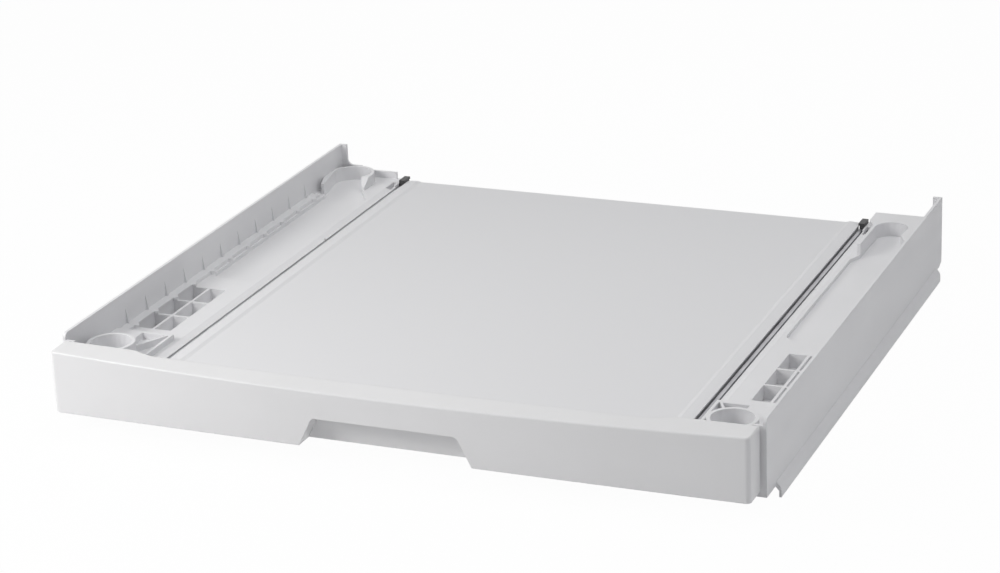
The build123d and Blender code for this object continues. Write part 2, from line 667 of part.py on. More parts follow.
# Right slide, three nested steel channels
with BuildPart() as right_slide_outer:
    add(bar(channel_section(seat_x, seat_x - outer_flange, slide_height, sheet),
            slide_front_y, slide_back_y))
    # Hollow bead rolled up along the edge of the top flange
    bead_x = seat_x - outer_flange
    slab(bead_x, bead_x + bead_width, slide_front_y, slide_back_y, slide_top_z - sheet,
         slide_top_z + bead_rise)
    slab(bead_x + sheet, bead_x + bead_width - sheet, slide_front_y - overrun, slide_back_y + overrun,
         slide_top_z - sheet - overrun, slide_top_z + bead_rise - sheet, Mode.SUBTRACT)
    with Locations(*[Location((seat_x, screw_y, slide_z), (0, 90, 0)) for screw_y in seat_screw_ys]):
        Cylinder(screw_hole_radius, 2 * sheet + overrun, mode=Mode.SUBTRACT)
right_slide_outer.part.label = "right_slide_outer"
export_step(right_slide_outer.part, "parts/right_slide_outer.step")

with BuildPart() as right_slide_middle:
    add(bar(channel_section(seat_x - middle_start, seat_x - middle_end, middle_height, sheet),
            slide_front_y, slide_back_y))
right_slide_middle.part.label = "right_slide_middle"
export_step(right_slide_middle.part, "parts/right_slide_middle.step")

with BuildPart() as right_slide_inner:
    add(bar(channel_section(side_x, seat_x - inner_start, inner_height, sheet), slide_front_y, slide_back_y))
    with Locations(*[Location((side_x, screw_y, slide_z), (0, 90, 0)) for screw_y in seat_screw_ys]):
        Cylinder(screw_hole_radius, 2 * sheet + overrun, mode=Mode.SUBTRACT)
right_slide_inner.part.label = "right_slide_inner"
export_step(right_slide_inner.part, "parts/right_slide_inner.step")

# The cages travel a quarter of the way at each stage, so they stop that far short of the slide's ends
cage_front_y = slide_front_y + travel / 4 + cage_margin
cage_back_y = slide_back_y - travel / 4 - cage_margin
ball_count = int((cage_back_y - cage_front_y - 2 * cage_edge) / ball_pitch) + 1
ball_row_length = (ball_count - 1) * ball_pitch
ball_ys = spread((cage_front_y + cage_back_y - ball_row_length) / 2,
                 (cage_front_y + cage_back_y + ball_row_length) / 2, ball_count)


def cage(web_start, ball_start, ball_rise):
    """A ball cage: a thin channel with a row of round holes along its top and its bottom strip."""
    outline = channel_section(seat_x - web_start, seat_x - ball_start - cage_edge,
                              2 * ball_rise + cage_sheet, cage_sheet)
    with BuildPart() as piece:
        add(bar(outline, cage_front_y, cage_back_y))
        with Locations(*[(seat_x - ball_start, ball_y, slide_z) for ball_y in ball_ys]):
            Cylinder(ball_diameter / 2 + ball_clearance, 2 * (ball_rise + cage_sheet), mode=Mode.SUBTRACT)
    return piece.part


def ball_rows(ball_start, ball_rise):
    """The balls of one cage, a row above and a row below."""
    with BuildPart() as piece:
        with Locations(*[(seat_x - ball_start, ball_y, slide_z + side * ball_rise)
                         for ball_y in ball_ys for side in (-1, 1)]):
            Sphere(ball_diameter / 2)
    return piece.part


with BuildPart() as right_outer_cage:
    add(cage(outer_cage_start, outer_ball_start, outer_ball_rise))
right_outer_cage.part.label = "right_outer_cage"
export_step(right_outer_cage.part, "parts/right_outer_cage.step")

with BuildPart() as right_inner_cage:
    add(cage(inner_cage_start, inner_ball_start, inner_ball_rise))
right_inner_cage.part.label = "right_inner_cage"
export_step(right_inner_cage.part, "parts/right_inner_cage.step")

with BuildPart() as right_outer_balls:
    add(ball_rows(outer_ball_start, outer_ball_rise))
right_outer_balls.part.label = "right_outer_balls"
export_step(right_outer_balls.part, "parts/right_outer_balls.step")

with BuildPart() as right_inner_balls:
    add(ball_rows(inner_ball_start, inner_ball_rise))
right_inner_balls.part.label = "right_inner_balls"
export_step(right_inner_balls.part, "parts/right_inner_balls.step")

# Left slide, the mirror image
with BuildPart() as left_slide_outer:
    mirror(right_slide_outer.part, about=Plane.YZ)
left_slide_outer.part.label = "left_slide_outer"
export_step(left_slide_outer.part, "parts/left_slide_outer.step")

with BuildPart() as left_slide_middle:
    mirror(right_slide_middle.part, about=Plane.YZ)
left_slide_middle.part.label = "left_slide_middle"
export_step(left_slide_middle.part, "parts/left_slide_middle.step")

with BuildPart() as left_slide_inner:
    mirror(right_slide_inner.part, about=Plane.YZ)
left_slide_inner.part.label = "left_slide_inner"
export_step(left_slide_inner.part, "parts/left_slide_inner.step")

with BuildPart() as left_outer_cage:
    mirror(right_outer_cage.part, about=Plane.YZ)
left_outer_cage.part.label = "left_outer_cage"
export_step(left_outer_cage.part, "parts/left_outer_cage.step")

with BuildPart() as left_inner_cage:
    mirror(right_inner_cage.part, about=Plane.YZ)
left_inner_cage.part.label = "left_inner_cage"
export_step(left_inner_cage.part, "parts/left_inner_cage.step")

with BuildPart() as left_outer_balls:
    mirror(right_outer_balls.part, about=Plane.YZ)
left_outer_balls.part.label = "left_outer_balls"
export_step(left_outer_balls.part, "parts/left_outer_balls.step")

with BuildPart() as left_inner_balls:
    mirror(right_inner_balls.part, about=Plane.YZ)
left_inner_balls.part.label = "left_inner_balls"
export_step(left_inner_balls.part, "parts/left_inner_balls.step")

# Bent steel hook behind the slide: up the frame's wall, in under the lip, up beside it and over
hook_front_y = slide_back_y + ball_gap
hook_top_z = tray_z + hook_rise
hook_under_z = tray_z - lip_dip - lip_wall - ball_gap
hook_side_x = lip_x - ball_gap
hook_outline = [(seat_x, slide_bottom_z), (seat_x, hook_under_z), (hook_side_x, hook_under_z),
                (hook_side_x, hook_top_z), (hook_side_x - hook_reach, hook_top_z),
                (hook_side_x - hook_reach, hook_top_z - hook_leaf),
                (hook_side_x - hook_width, hook_top_z - hook_leaf),
                (hook_side_x - hook_width, hook_under_z - hook_wall),
                (seat_x - hook_wall, hook_under_z - hook_wall), (seat_x - hook_wall, slide_bottom_z)]
with BuildPart() as right_rear_hook:
    add(bar(hook_outline, hook_front_y, back_y))
    with Locations(Location((seat_x, hook_screw_y, slide_z), (0, 90, 0))):
        Cylinder(screw_hole_radius, 2 * hook_wall + overrun, mode=Mode.SUBTRACT)
right_rear_hook.part.label = "right_rear_hook"
export_step(right_rear_hook.part, "parts/right_rear_hook.step")

with BuildPart() as left_rear_hook:
    mirror(right_rear_hook.part, about=Plane.YZ)
left_rear_hook.part.label = "left_rear_hook"
export_step(left_rear_hook.part, "parts/left_rear_hook.step")

# Screws that hold the outer slide members and the hooks on the frames
with BuildPart() as frame_screws:
    for side in (-1, 1):
        with Locations(*[Location((side * (seat_x - sheet), screw_y, slide_z), (0, -90 * side, 0))
                         for screw_y in seat_screw_ys]):
            add(screw(screw_length))
        with Locations(Location((side * (seat_x - hook_wall), hook_screw_y, slide_z), (0, -90 * side, 0))):
            add(screw(screw_length))
frame_screws.part.label = "frame_screws"
export_step(frame_screws.part, "parts/frame_screws.step")

# Screws that hold the inner slide members on the shelf's side walls
with BuildPart() as shelf_screws:
    for side in (-1, 1):
        with Locations(*[Location((side * (side_x + sheet), screw_y, slide_z), (0, 90 * side, 0))
                         for screw_y in seat_screw_ys]):
            add(screw(screw_length))
shelf_screws.part.label = "shelf_screws"
export_step(shelf_screws.part, "parts/shelf_screws.step")

# Shelf: a flat moulding with a slightly raised border along each side, side walls and ribs below
fascia_screw_xs = [side * share * shelf_x for share in fascia_screw_shares for side in (-1, 1)]
fascia_screw_z = fascia_bottom_z + fascia_screw_lift
stiffener_ys = spread(shelf_front_y, shelf_back_y, stiffener_count + 2)[1:-1]
stiffener_screw_xs = spread(-side_in_x + stiffener_screw_inset, side_in_x - stiffener_screw_inset,
                            stiffener_screw_count)
with BuildPart() as shelf_panel:
    with BuildSketch(Plane.XY.offset(plate_z)) as plate_sketch:
        with Locations((0, (shelf_front_y + shelf_back_y) / 2)):
            Rectangle(2 * shelf_x, shelf_back_y - shelf_front_y)
        fillet(plate_sketch.vertices().group_by(Axis.Y)[-1], radius=shelf_corner)
    extrude(amount=shelf_plate)
    # Profile of the top: a sunk field, a slope up to each crest, and a rounded fall to each edge
    with BuildSketch(Plane.XZ.offset(-shelf_back_y - overrun)):
        with BuildLine():
            Polyline((crest_x, shelf_z), (field_x, field_z), (-field_x, field_z), (-crest_x, shelf_z))
            for side in (-1, 1):
                ThreePointArc((side * crest_x, shelf_z),
                              (side * (crest_x + border_width / 2), shelf_z - edge_drop / 4),
                              (side * shelf_x, edge_z))
            Polyline((shelf_x, edge_z), (shelf_x + overrun, edge_z), (shelf_x + overrun, shelf_z + overrun),
                     (-shelf_x - overrun, shelf_z + overrun), (-shelf_x - overrun, edge_z),
                     (-shelf_x, edge_z))
        make_face()
    extrude(amount=shelf_back_y - shelf_front_y + 2 * overrun, mode=Mode.SUBTRACT)
    # Undercut of the overhanging edges
    for side in (-1, 1):
        add(bar([(side * side_x, plate_z), (side * shelf_x, plate_z + edge_undercut),
                 (side * (shelf_x + overrun), plate_z + edge_undercut),
                 (side * (shelf_x + overrun), plate_z - overrun), (side * side_x, plate_z - overrun)],
                shelf_front_y - overrun, shelf_back_y + overrun), mode=Mode.SUBTRACT)
    # Walls below the plate
    for wall_x0 in (-side_x, side_in_x):
        slab(wall_x0, wall_x0 + wall, shelf_front_y, shelf_back_y, shelf_foot_z, plate_z)
    slab(-side_in_x, side_in_x, shelf_front_y, shelf_front_y + wall, shelf_foot_z, plate_z)
    slab(-side_in_x, side_in_x, shelf_back_y - wall, shelf_back_y, shelf_foot_z, plate_z)
    # Ribs both ways
    for rib_x in spread(-side_in_x, side_in_x, long_rib_count + 2)[1:-1]:
        slab(rib_x - shelf_rib_wall / 2, rib_x + shelf_rib_wall / 2,
             shelf_front_y + wall, shelf_back_y - wall, shelf_rib_z, plate_z)
    for rib_y in spread(shelf_front_y, shelf_back_y, cross_rib_count + 2)[1:-1]:
        slab(-side_in_x, side_in_x, rib_y - shelf_rib_wall / 2, rib_y + shelf_rib_wall / 2,
             shelf_rib_z, plate_z)
    # Bosses for the stiffeners' screws and for the slides' screws
    for boss_y in stiffener_ys:
        for boss_x in stiffener_screw_xs:
            post(boss_x, boss_y, shelf_rib_z, plate_z, boss_diameter / 2)
            post(boss_x, boss_y, shelf_rib_z - overrun, plate_z, screw_hole_radius, Mode.SUBTRACT)
    for side in (-1, 1):
        with Locations(*[Location((side * side_in_x, screw_y, slide_z), (0, -90 * side, 0))
                         for screw_y in seat_screw_ys]):
            Cylinder(boss_diameter / 2, seat_boss_length, align=from_base)
        with Locations(*[Location((side * (side_x + overrun), screw_y, slide_z), (0, -90 * side, 0))
                         for screw_y in seat_screw_ys]):
            Cylinder(screw_hole_radius, screw_length + overrun, align=from_base,
                     mode=Mode.SUBTRACT)
    with Locations(*[Location((screw_x, shelf_front_y, fascia_screw_z), (90, 0, 0))
                     for screw_x in fascia_screw_xs]):
        Cylinder(screw_hole_radius, 2 * (wall + overrun), mode=Mode.SUBTRACT)
shelf_panel.part.label = "shelf_panel"
export_step(shelf_panel.part, "parts/shelf_panel.step")

# Steel stiffeners across the shelf's underside
with BuildPart() as shelf_stiffeners:
    for rail_y in stiffener_ys:
        end_x = side_in_x - seat_boss_length - stiffener_end_gap
        slab(-end_x, end_x, rail_y - stiffener_width / 2, rail_y + stiffener_width / 2,
             shelf_rib_z - stiffener_sheet, shelf_rib_z)
        for side in (-1, 1):
            edge_y = rail_y + side * (stiffener_width - stiffener_sheet) / 2
            slab(-end_x, end_x, edge_y - stiffener_sheet / 2, edge_y + stiffener_sheet / 2,
                 shelf_rib_z - stiffener_height, shelf_rib_z)
        for hole_x in stiffener_screw_xs:
            post(hole_x, rail_y, shelf_rib_z - stiffener_sheet - overrun, shelf_rib_z + overrun,
                 screw_hole_radius, Mode.SUBTRACT)
shelf_stiffeners.part.label = "shelf_stiffeners"
export_step(shelf_stiffeners.part, "parts/shelf_stiffeners.step")

with BuildPart() as stiffener_screws:
    with Locations(*[Location((screw_x, screw_y, shelf_rib_z - stiffener_sheet), (180, 0, 0))
                     for screw_x in stiffener_screw_xs for screw_y in stiffener_ys]):
        add(screw(screw_length))
stiffener_screws.part.label = "stiffener_screws"
export_step(stiffener_screws.part, "parts/stiffener_screws.step")


def front_body(inset, back_extra, foot_extra):
    """The drawer front's outer shape, or the hollow inside it when the inset is the wall."""
    half = fascia_width / 2 - inset
    top = fascia_top_z - inset
    foot = fascia_bottom_z - foot_extra
    back = fascia_back_y + back_extra
    crown = face_y + inset
    corner_y = crown + fascia_bow
    with BuildPart() as piece:
        with BuildSketch(Plane.XZ.offset(-face_y)):
            with BuildLine():
                Polyline((-half, top), (-half, foot), (half, foot), (half, top))
                ThreePointArc((half, top), (0, top - front_dip), (-half, top))
            make_face()
        with BuildSketch(Plane.XZ.offset(-back)):
            with BuildLine():
                Polyline((-half, top), (-half, foot), (half, foot), (half, top))
                ThreePointArc((half, top), (0, top - back_dip), (-half, top))
            make_face()
        loft(ruled=True)
        with BuildSketch(Plane.XY.offset(foot)) as plan:
            with BuildLine():
                Polyline((-half, corner_y), (-half, back), (half, back), (half, corner_y))
                ThreePointArc((half, corner_y), (0, crown), (-half, corner_y))
            make_face()
            fillet(plan.vertices().group_by(Axis.Y)[0], radius=max(fascia_corner - inset, fascia_edge))
        extrude(amount=top - foot, mode=Mode.INTERSECT)
    return piece.part


notch_top_z = fascia_bottom_z + notch_height
notch_outline = [(-notch_bottom_width / 2, fascia_bottom_z), (-notch_top_width / 2, notch_top_z),
                 (notch_top_width / 2, notch_top_z), (notch_bottom_width / 2, fascia_bottom_z),
                 (notch_bottom_width / 2, fascia_bottom_z - overrun),
                 (-notch_bottom_width / 2, fascia_bottom_z - overrun)]
curve_x = shelf_x + setback_margin
panel_front_y = shelf_front_y - wall
hollow = front_body(fascia_wall, overrun, overrun)

# Bosses that stand on the inside of the drawer front, cut to its curved wall
bumper_x = wall_x - bumper_inset
bumper_z = fascia_bottom_z + bumper_lift
bumper_seat_y = fascia_back_y - bumper_seat_inset
screw_boss_places = [Location((screw_x, panel_front_y, fascia_screw_z), (90, 0, 0))
                     for screw_x in fascia_screw_xs]
bumper_places = [Location((side * bumper_x, bumper_seat_y, bumper_z), (90, 0, 0)) for side in (-1, 1)]
with BuildPart() as fascia_bosses:
    with Locations(*screw_boss_places):
        Cylinder(boss_diameter / 2, panel_front_y - face_y, align=from_base)
    with Locations(*bumper_places):
        Cylinder(bumper_diameter / 2, bumper_seat_y - face_y, align=from_base)
    add(front_body(fascia_wall / 2, overrun, 0), mode=Mode.INTERSECT)

# Drawer front, a hollow moulding open at its back and underside
with BuildPart() as fascia:
    add(front_body(0, 0, 0))
    fillet(fascia.edges().group_by(Axis.Y)[0].sort_by(Axis.Z)[-1], radius=fascia_edge)
    add(hollow, mode=Mode.SUBTRACT)
    # The top's back edge is drawn in along the shelf, with an easy curve at each end
    with BuildSketch(Plane.XY.offset(shelf_z)):
        with BuildLine():
            Spline((-curve_x, fascia_back_y), (-curve_x + setback_run, shelf_front_y),
                   tangents=((1, 0), (1, 0)))
            Line((-curve_x + setback_run, shelf_front_y), (curve_x - setback_run, shelf_front_y))
            Spline((curve_x - setback_run, shelf_front_y), (curve_x, fascia_back_y),
                   tangents=((1, 0), (1, 0)))
            Polyline((curve_x, fascia_back_y), (curve_x, fascia_back_y + overrun),
                     (-curve_x, fascia_back_y + overrun), (-curve_x, fascia_back_y))
        make_face()
    extrude(amount=fascia_top_z + overrun - shelf_z, mode=Mode.SUBTRACT)
    # Finger notch in the lower edge
    with BuildSketch(Plane.XZ.offset(-face_y - fascia_bow - fascia_wall - overrun)) as notch_sketch:
        with BuildLine():
            Polyline(*notch_outline, close=True)
        make_face()
        fillet(notch_sketch.vertices().group_by(Axis.Y)[-1], radius=notch_corner)
    extrude(amount=fascia_bow + fascia_wall + 2 * overrun, mode=Mode.SUBTRACT)
    # Bosses for the screws and for the bumpers, each with its blind hole
    add(fascia_bosses.part)
    with Locations(*screw_boss_places):
        Cylinder(screw_hole_radius, fascia_screw_length - 2 * wall + liner_gap, align=from_base,
                 mode=Mode.SUBTRACT)
    with Locations(*bumper_places):
        Cylinder(bumper_peg_diameter / 2 + screw_clearance, bumper_peg_length + liner_gap, align=from_base,
                 mode=Mode.SUBTRACT)
fascia.part.label = "fascia"
export_step(fascia.part, "parts/fascia.step")

# Panel that closes the back of the drawer front and backs the finger notch
with BuildPart() as fascia_back:
    panel_x = curve_x - back_panel_side_gap
    slab(-panel_x, panel_x, panel_front_y, shelf_front_y, fascia_bottom_z, fascia_top_z)
    add(hollow, mode=Mode.INTERSECT)
    with Locations(*[Location((screw_x, shelf_front_y, fascia_screw_z), (90, 0, 0))
                     for screw_x in fascia_screw_xs]):
        Cylinder(screw_hole_radius, 2 * (wall + overrun), mode=Mode.SUBTRACT)
fascia_back.part.label = "fascia_back"
export_step(fascia_back.part, "parts/fascia_back.step")

# Liner that lines the finger notch from the face to the back panel
with BuildPart() as grip_liner:
    liner_front_y = face_y + fascia_wall + liner_gap
    with BuildSketch(Plane.XZ.offset(-panel_front_y)) as liner_sketch:
        with BuildLine():
            Polyline((-notch_bottom_width / 2 - grip_wall, fascia_bottom_z),
                     (-notch_top_width / 2 - grip_wall, fascia_bottom_z + notch_height + grip_wall),
                     (notch_top_width / 2 + grip_wall, fascia_bottom_z + notch_height + grip_wall),
                     (notch_bottom_width / 2 + grip_wall, fascia_bottom_z), close=True)
        make_face()
        fillet(liner_sketch.vertices().group_by(Axis.Y)[-1], radius=notch_corner + grip_wall)
    extrude(amount=panel_front_y - liner_front_y)
    with BuildSketch(Plane.XZ.offset(-panel_front_y - overrun)) as bore_sketch:
        with BuildLine():
            Polyline(*notch_outline, close=True)
        make_face()
        fillet(bore_sketch.vertices().group_by(Axis.Y)[-1], radius=notch_corner)
    extrude(amount=panel_front_y - liner_front_y + 2 * overrun, mode=Mode.SUBTRACT)
grip_liner.part.label = "grip_liner"
export_step(grip_liner.part, "parts/grip_liner.step")

with BuildPart() as fascia_screws:
    with Locations(*[Location((screw_x, shelf_front_y + wall, fascia_screw_z), (-90, 0, 0))
                     for screw_x in fascia_screw_xs]):
        add(screw(fascia_screw_length))
fascia_screws.part.label = "fascia_screws"
export_step(fascia_screws.part, "parts/fascia_screws.step")

# Rubber bumpers that meet the frames when the shelf is shut
with BuildPart() as fascia_bumpers:
    with Locations(*[place * Location((0, 0, 0), (180, 0, 0)) for place in bumper_places]):
        Cylinder(bumper_diameter / 2, front_y - bumper_gap - bumper_seat_y,
                 align=from_base)
        Cylinder(bumper_peg_diameter / 2, bumper_peg_length, align=from_top)
fascia_bumpers.part.label = "fascia_bumpers"
export_step(fascia_bumpers.part, "parts/fascia_bumpers.step")
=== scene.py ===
# %% [markdown]
# # A stacking kit with a pull out shelf
#
# This notebook dresses a finished CAD model in Blender. The model is a white moulded kit that holds a
# tumble dryer on top of a washing machine, with a flat shelf that slides out between the two.
# The CAD model gives every shape and every size. Blender gives the camera, the light and the finishes.
#
# The first cell loads the CAD model as a frame that nothing may move. It also keeps the model's outer
# box, which sets the height of the floor.

# %% Load the frame
import math

import bpy
from mathutils import Matrix, Vector


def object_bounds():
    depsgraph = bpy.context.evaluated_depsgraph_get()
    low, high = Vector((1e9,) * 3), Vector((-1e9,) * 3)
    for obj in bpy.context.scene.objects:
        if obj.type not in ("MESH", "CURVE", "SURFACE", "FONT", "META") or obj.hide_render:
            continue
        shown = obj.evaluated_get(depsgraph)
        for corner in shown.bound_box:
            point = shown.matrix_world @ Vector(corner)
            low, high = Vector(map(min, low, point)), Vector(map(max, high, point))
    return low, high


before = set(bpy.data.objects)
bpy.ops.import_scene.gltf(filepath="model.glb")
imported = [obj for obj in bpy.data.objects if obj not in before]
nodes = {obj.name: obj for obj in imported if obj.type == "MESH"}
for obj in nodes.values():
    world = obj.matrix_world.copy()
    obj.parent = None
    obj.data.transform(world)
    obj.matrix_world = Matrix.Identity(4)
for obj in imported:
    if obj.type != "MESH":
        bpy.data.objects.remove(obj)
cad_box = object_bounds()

print("pieces in the frame:", len(nodes))
print("box in metres:", [[round(value, 4) for value in corner] for corner in cad_box])

# %% [markdown]
# ## The camera
#
# A catalogue picture is taken from a little above, with a long lens, so that straight edges stay nearly
# parallel. A camera could be placed by eye and nudged. Here it is placed by numbers instead: how far it
# stands round to the right, how high it looks down, how far away it is, and how much it leans. Those
# numbers can be changed one at a time, and each has a clear effect on the picture.

# %% Angles and distance of the camera
camera_turn = math.radians(23.33)       # round to the right of straight ahead
camera_dip = math.radians(20.48)        # downwards
camera_lean = math.radians(-2.45)       # turn about the line of sight
camera_distance = 2.1044                # metres from the point that it looks at
look_at = Vector((0.0900, -0.2460, 0.1540))
focal_length = 101.2                    # millimetres
sensor_width = 36.0                     # millimetres, the sensor that the focal length is meant for
nearest_seen = 0.01                     # metres

sight = Vector((-math.sin(camera_turn) * math.cos(camera_dip),
                math.cos(camera_turn) * math.cos(camera_dip),
                -math.sin(camera_dip)))
print("line of sight:", [round(value, 3) for value in sight])

# %% Make the camera
# The camera's own axes are its right, its up and the way back from the object.
level_right = sight.cross(Vector((0, 0, 1))).normalized()
level_up = level_right.cross(sight)
lens_right = level_right * math.cos(camera_lean) + level_up * math.sin(camera_lean)
lens_up = level_up * math.cos(camera_lean) - level_right * math.sin(camera_lean)

camera = bpy.data.objects.new("camera", bpy.data.cameras.new("camera"))
bpy.context.scene.collection.objects.link(camera)
camera.data.lens = focal_length
camera.data.sensor_width = sensor_width
camera.data.clip_start = nearest_seen
camera.matrix_world = Matrix.Translation(look_at - sight * camera_distance) @ Matrix(
    (lens_right, lens_up, -sight)).transposed().to_4x4()
bpy.context.scene.camera = camera
print("camera at:", [round(value, 3) for value in camera.matrix_world.translation])

# %% [markdown]
# ## The studio
#
# Lighting the floor until it burns out would also burn out a white object. So the background is white
# only for rays that come straight from the camera, or off a mirror like surface, while the light that
# reaches the object stays soft and grey. The Light Path node tells the shader which kind of ray has
# arrived.

# %% A helper for shader trees
def tree_of(owner):
    """Switches on the nodes of a material or world, empties its tree and returns it."""
    owner.use_nodes = True
    owner.node_tree.nodes.clear()
    return owner.node_tree


def seen_or_mirrored(tree):
    """Gives a socket that is 1 for camera, glossy and transmission rays and 0 for other rays."""
    path = tree.nodes.new("ShaderNodeLightPath")
    mirrored = tree.nodes.new("ShaderNodeMath")
    mirrored.operation = "MAXIMUM"
    tree.links.new(path.outputs["Is Glossy Ray"], mirrored.inputs[0])
    tree.links.new(path.outputs["Is Transmission Ray"], mirrored.inputs[1])
    either = tree.nodes.new("ShaderNodeMath")
    either.operation = "MAXIMUM"
    tree.links.new(path.outputs["Is Camera Ray"], either.inputs[0])
    tree.links.new(mirrored.outputs[0], either.inputs[1])
    return either.outputs[0]


print("helpers ready")

# %% The world: white to look at, soft grey as a light
sky_strength = 0.20
sky_tint = (0.97, 0.98, 1.0)
backdrop_white = (1.0, 1.0, 1.0)
backdrop_strength = 1.0
world = bpy.data.worlds.new("studio")
bpy.context.scene.world = world
tree = tree_of(world)
lighting = tree.nodes.new("ShaderNodeBackground")
lighting.inputs["Color"].default_value = (*sky_tint, 1)
lighting.inputs["Strength"].default_value = sky_strength
backdrop = tree.nodes.new("ShaderNodeBackground")
backdrop.inputs["Color"].default_value = (*backdrop_white, 1)
backdrop.inputs["Strength"].default_value = backdrop_strength
choose = tree.nodes.new("ShaderNodeMixShader")
out = tree.nodes.new("ShaderNodeOutputWorld")
tree.links.new(seen_or_mirrored(tree), choose.inputs["Fac"])
tree.links.new(lighting.outputs[0], choose.inputs[1])
tree.links.new(backdrop.outputs[0], choose.inputs[2])
tree.links.new(choose.outputs[0], out.inputs["Surface"])
print("world strength:", sky_strength)

# %% [markdown]
# ## The lamps
#
# Soft boxes are area lamps. The main one stands at the left and in front, near enough that the left end
# of the drawer front comes out brighter than the right end. A large one far above fills the trays and
# the shelf, a faint cool one at the right keeps the outer wall from going dark, and a small one above the
# shelf reaches the inside of the left wall. Their size matters more than their number: a large lamp
# gives the soft shadow edges that tell the eye that a surface is moulded plastic.

# %% Soft boxes
def soft_box(name, place, aim, size, watts, tint):
    """Adds an area lamp that looks from its place towards a point."""
    lamp = bpy.data.lights.new(name, "AREA")
    lamp.shape = "RECTANGLE"
    lamp.size = size[0]
    lamp.size_y = size[1]
    lamp.energy = watts
    lamp.color = tint
    holder = bpy.data.objects.new(name, lamp)
    bpy.context.scene.collection.objects.link(holder)
    holder.location = place
    holder.rotation_euler = (Vector(aim) - Vector(place)).to_track_quat("-Z", "Y").to_euler()


soft_box("main_soft_box", place=(-0.80, -0.85, 0.70), aim=(-0.20, -0.15, 0.03), size=(0.6, 0.5),
         watts=8.5, tint=(1.0, 0.99, 0.98))
soft_box("top_soft_box", place=(0.1, 0.3, 2.0), aim=(0.0, 0.0, 0.0), size=(1.6, 1.2),
         watts=8.8, tint=(1.0, 1.0, 1.0))
soft_box("side_soft_box", place=(1.5, -0.6, 0.9), aim=(0.0, 0.0, 0.03), size=(0.8, 0.6),
         watts=3.0, tint=(0.97, 0.97, 1.0))
soft_box("inner_soft_box", place=(0.25, 0.10, 1.3), aim=(-0.27, 0.0, 0.05), size=(0.5, 0.5),
         watts=2.2, tint=(1.0, 1.0, 0.99))

# %% [markdown]
# ## The floor
#
# Its material is a mix of an ordinary matt white, which takes the object's shadow, and a plain white
# that shines by itself when it is seen. The share of the second one sets how faint the shadow looks.

# %% Floor
floor_size = 24.0
floor_cells = 24          # along each side
floor_gap = 0.0002
floor_shade = (0.86, 0.86, 0.87)
shine_strength = 1.0
shine_share = 0.975       # the rest is the matt white that takes the shadow
bpy.ops.mesh.primitive_grid_add(x_subdivisions=floor_cells, y_subdivisions=floor_cells, size=floor_size,
                                location=(0, 0, cad_box[0][2] - floor_gap))
floor = bpy.context.object
floor.name = "floor"

floor_white = bpy.data.materials.new("floor_white")
tree = tree_of(floor_white)
matt = tree.nodes.new("ShaderNodeBsdfDiffuse")
matt.inputs["Color"].default_value = (*floor_shade, 1)
shine = tree.nodes.new("ShaderNodeEmission")
shine.inputs["Strength"].default_value = shine_strength
share = tree.nodes.new("ShaderNodeMath")
share.operation = "MULTIPLY"
share.inputs[1].default_value = shine_share
blend = tree.nodes.new("ShaderNodeMixShader")
out = tree.nodes.new("ShaderNodeOutputMaterial")
tree.links.new(seen_or_mirrored(tree), share.inputs[0])
tree.links.new(share.outputs[0], blend.inputs["Fac"])
tree.links.new(matt.outputs[0], blend.inputs[1])
tree.links.new(shine.outputs[0], blend.inputs[2])
tree.links.new(blend.outputs[0], out.inputs["Surface"])
floor.data.materials.append(floor_white)
print("floor:", floor_size, "m square")

# %% [markdown]
# ## Finishes: how every material here is built
#
# Each finish is a Principled shader with a few textures made by formula. Pictures wrapped round the
# object would need unwrapped meshes, and they blur up close. Noise in the object's own coordinates needs
# neither: it is exact at every scale, and it moves with the piece when the shelf slides.
# A value that is the same everywhere is typed on the shader itself. Only what varies is wired.

# %% A blank finish
noise_low, noise_high = 0.3, 0.7    # nearly all of a noise lies between these two
edge_samples = 6                    # rays that feel for an edge when it is shown rounded


def new_finish(name, metallic, roughness):
    """A material with a Principled shader and the object's coordinates, ready for textures."""
    finish = bpy.data.materials.new(name)
    tree = tree_of(finish)
    shader = tree.nodes.new("ShaderNodeBsdfPrincipled")
    shader.inputs["Metallic"].default_value = metallic
    shader.inputs["Roughness"].default_value = roughness
    out = tree.nodes.new("ShaderNodeOutputMaterial")
    place = tree.nodes.new("ShaderNodeTexCoord")
    tree.links.new(shader.outputs[0], out.inputs["Surface"])
    return finish, tree, shader, place.outputs["Object"]


def noise(tree, place, scale, detail=3.0, stretch=(1, 1, 1)):
    """A cloud of noise whose spots are about 1/scale metres across, drawn out along the stretch."""
    aim = tree.nodes.new("ShaderNodeMapping")
    aim.inputs["Scale"].default_value = stretch
    cloud = tree.nodes.new("ShaderNodeTexNoise")
    cloud.inputs["Scale"].default_value = scale
    cloud.inputs["Detail"].default_value = detail
    tree.links.new(place, aim.inputs["Vector"])
    tree.links.new(aim.outputs["Vector"], cloud.inputs["Vector"])
    return cloud.outputs["Fac"]


def ramp(tree, value, low, high, start=0.35, end=0.65):
    """Turns a value from 0 to 1 into a colour between two others."""
    blend = tree.nodes.new("ShaderNodeValToRGB")
    blend.color_ramp.elements[0].position = start
    blend.color_ramp.elements[0].color = (*low, 1)
    blend.color_ramp.elements[1].position = end
    blend.color_ramp.elements[1].color = (*high, 1)
    tree.links.new(value, blend.inputs["Fac"])
    return blend.outputs["Color"]


def spread_between(tree, value, low, high):
    """Turns a value from 0 to 1 into a number between two others, for a roughness."""
    stretch = tree.nodes.new("ShaderNodeMapRange")
    stretch.inputs["From Min"].default_value = noise_low
    stretch.inputs["From Max"].default_value = noise_high
    stretch.inputs["To Min"].default_value = low
    stretch.inputs["To Max"].default_value = high
    tree.links.new(value, stretch.inputs["Value"])
    return stretch.outputs["Result"]


